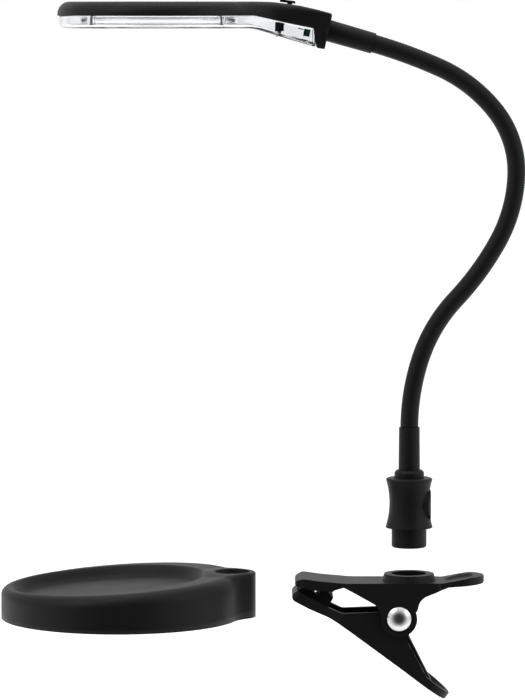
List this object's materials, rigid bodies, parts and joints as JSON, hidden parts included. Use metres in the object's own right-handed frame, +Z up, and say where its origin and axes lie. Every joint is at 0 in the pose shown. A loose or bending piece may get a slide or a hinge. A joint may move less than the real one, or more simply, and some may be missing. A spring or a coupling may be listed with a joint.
{
  "type": "clip-on reading lamp",
  "caption": "Round magnifier lamp head on a bendable gooseneck whose plug seats in a spring clip or in the socket of a weighted round base.",
  "frame": {"origin": "centre of the mouth of the clip's socket", "axes": "+Z up along the socket, out of its mouth; +X from the jaws to the handles; +Y across the clip"},
  "size_m": [0.3408, 0.156, 0.4572],
  "materials": {
    "black_plastic": "fine matt texture",
    "black_rubber": "dull",
    "bright_steel": "polished",
    "spring_steel": "blackened wire",
    "neck_steel": "drawn strip",
    "neck_sleeve": "satin sleeve",
    "black_wire": "insulated wire",
    "clear_plastic": "clear moulding",
    "lens_glass": "polished lens",
    "white_board": "solder mask",
    "led_phosphor": "phosphor",
    "green_board": "solder mask",
    "copper_winding": "enamelled winding",
    "tan_parts": "ceramic and film parts",
    "green_terminal": "moulded",
    "dark_steel": "blackened screw",
    "black_gloss": "moulded",
    "zinc_steel": "rolled"
  },
  "bodies": {
    "clip": {"clip_upper_lever": "black_plastic", "upper_jaw_pad": "black_rubber", "rivet_shaft": "bright_steel", "rivet_domes": "bright_steel", "spring_coil": "spring_steel"},
    "lower_lever": {"clip_lower_lever": "black_plastic", "lower_jaw_pad": "black_rubber", "spring_lower_leg": "spring_steel"},
    "plug": {"spigot": "black_plastic", "stem_clip": "bright_steel"},
    "collar": {"collar_shell": "black_plastic", "collar_step_ring": "black_plastic", "neck_nut": "bright_steel", "inlet_body": "black_gloss", "inlet_pin": "bright_steel", "supply_lead": "black_wire", "lower_ferrule": "black_plastic", "core_end_lower": "neck_steel", "neck_core_1": "neck_steel", "neck_sleeve_1": "neck_sleeve", "neck_wires_1": "black_wire"},
    "link_2": {"neck_core_2": "neck_steel", "neck_sleeve_2": "neck_sleeve", "neck_wires_2": "black_wire"},
    "link_3": {"neck_core_3": "neck_steel", "neck_sleeve_3": "neck_sleeve", "neck_wires_3": "black_wire"},
    "link_4": {"neck_core_4": "neck_steel", "neck_sleeve_4": "neck_sleeve", "neck_wires_4": "black_wire"},
    "link_5": {"neck_core_5": "neck_steel", "neck_sleeve_5": "neck_sleeve", "neck_wires_5": "black_wire"},
    "link_6": {"neck_core_6": "neck_steel", "neck_sleeve_6": "neck_sleeve", "neck_wires_6": "black_wire"},
    "head": {"neck_core_7": "neck_steel", "neck_sleeve_7": "neck_sleeve", "neck_wires_7": "black_wire", "core_end_upper": "neck_steel", "upper_ferrule": "black_plastic", "head_shell": "black_plastic", "head_cover": "clear_plastic", "magnifier_lens": "lens_glass", "led_board": "white_board", "led_chips": "led_phosphor", "driver_board": "green_board", "driver_coil": "copper_winding", "driver_parts": "tan_parts", "wire_terminal": "green_terminal", "head_wires": "black_wire", "head_screws": "dark_steel", "switch_body": "black_gloss"},
    "slider": {"switch_slider": "black_plastic"},
    "base": {"base_shell": "black_plastic", "base_weight": "zinc_steel", "base_cover": "black_plastic", "base_feet": "black_rubber", "base_screws": "bright_steel"}
  },
  "joints": [
    {"name": "jaw_hinge", "type": "hinge", "parent": "clip", "child": "lower_lever", "pos_m": [-0.0068, 0, -0.0278], "axis": [0, -1, 0], "range_deg": [0, 40], "stiffness_Nm_per_rad": 0.4, "springref_deg": -40.11},
    {"name": "plug_slide", "type": "slide", "parent": "clip", "child": "plug", "axis": [0, 0, 1], "range_m": [-0.03, 0.02]},
    {"name": "arm_swivel", "type": "hinge", "parent": "plug", "child": "collar", "pos_m": [0, 0, 0.032], "axis": [0, 0, 1], "continuous": true},
    {"name": "neck_bend_1", "type": "hinge", "parent": "collar", "child": "link_2", "pos_m": [0.00709, 0, 0.14066], "axis": [0, 1, 0], "range_deg": [-25, 25]},
    {"name": "neck_side_2", "type": "hinge", "parent": "link_2", "child": "link_3", "pos_m": [0.03, 0, 0.17955], "axis": [0.7314, 0, -0.682], "range_deg": [-25, 25]},
    {"name": "neck_bend_3", "type": "hinge", "parent": "link_3", "child": "link_4", "pos_m": [0.05668, 0, 0.21627], "axis": [0, -1, 0], "range_deg": [-25, 25]},
    {"name": "neck_bend_4", "type": "hinge", "parent": "link_4", "child": "link_5", "pos_m": [0.06872, 0, 0.25971], "axis": [0, 1, 0], "range_deg": [-25, 25]},
    {"name": "neck_side_5", "type": "hinge", "parent": "link_5", "child": "link_6", "pos_m": [0.05459, 0, 0.30194], "axis": [-0.7771, 0, -0.6293], "range_deg": [-25, 25]},
    {"name": "neck_bend_6", "type": "hinge", "parent": "link_6", "child": "head", "pos_m": [0.01883, 0, 0.32939], "axis": [0, -1, 0], "range_deg": [-25, 25]},
    {"name": "switch_slide", "type": "slide", "parent": "head", "child": "slider", "axis": [0.9925, 0, -0.1219], "range_m": [0, 0.003]},
    {"name": "base_lift", "type": "slide", "parent": "clip", "child": "base", "axis": [0, 0, 1], "range_m": [0, 0.1]}
  ]
}
